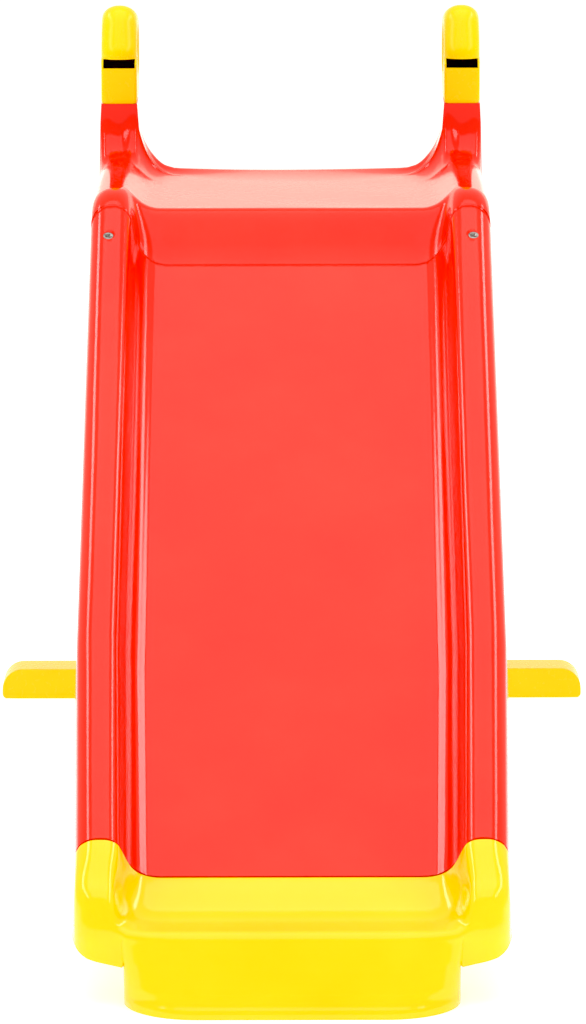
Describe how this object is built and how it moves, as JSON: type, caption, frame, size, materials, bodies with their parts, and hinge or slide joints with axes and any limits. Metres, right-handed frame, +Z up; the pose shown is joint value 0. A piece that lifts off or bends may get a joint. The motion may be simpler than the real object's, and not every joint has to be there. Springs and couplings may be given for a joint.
{
  "type": "straight slide",
  "caption": "Toddler's straight slide: moulded chute with raised rails, deck with grab handles, ladder at the back and a wide foot bar.",
  "frame": {"origin": "on the floor, under the middle of the whole slide", "axes": "+Z up, +X across the slide, +Y from the exit towards the ladder; the child slides towards -Y"},
  "size_m": [0.618, 1.356, 0.7611],
  "materials": {
    "red_plastic": "moulded polyethylene, satin gloss, fine orange peel",
    "yellow_plastic": "moulded polyethylene, satin gloss, fine orange peel",
    "black_plastic": "moulded plastic plug",
    "zinc_steel": "bright zinc plate"
  },
  "bodies": {
    "root": {"chute_section": "red_plastic", "exit_screws": "zinc_steel", "exit_section": "yellow_plastic", "foot_bar": "yellow_plastic", "foot_screws": "zinc_steel", "handle_insert_left": "black_plastic", "handle_insert_right": "black_plastic", "handle_left": "yellow_plastic", "handle_right": "yellow_plastic", "handle_screws": "zinc_steel", "ladder_bolts": "zinc_steel", "ladder_nuts": "zinc_steel", "ladder_side_left": "yellow_plastic", "ladder_side_right": "yellow_plastic", "platform_section": "red_plastic", "rail_screws": "zinc_steel", "tread_lower": "yellow_plastic", "tread_middle": "yellow_plastic", "tread_screws_left": "zinc_steel", "tread_screws_right": "zinc_steel", "tread_upper": "yellow_plastic"}
  },
  "joints": []
}
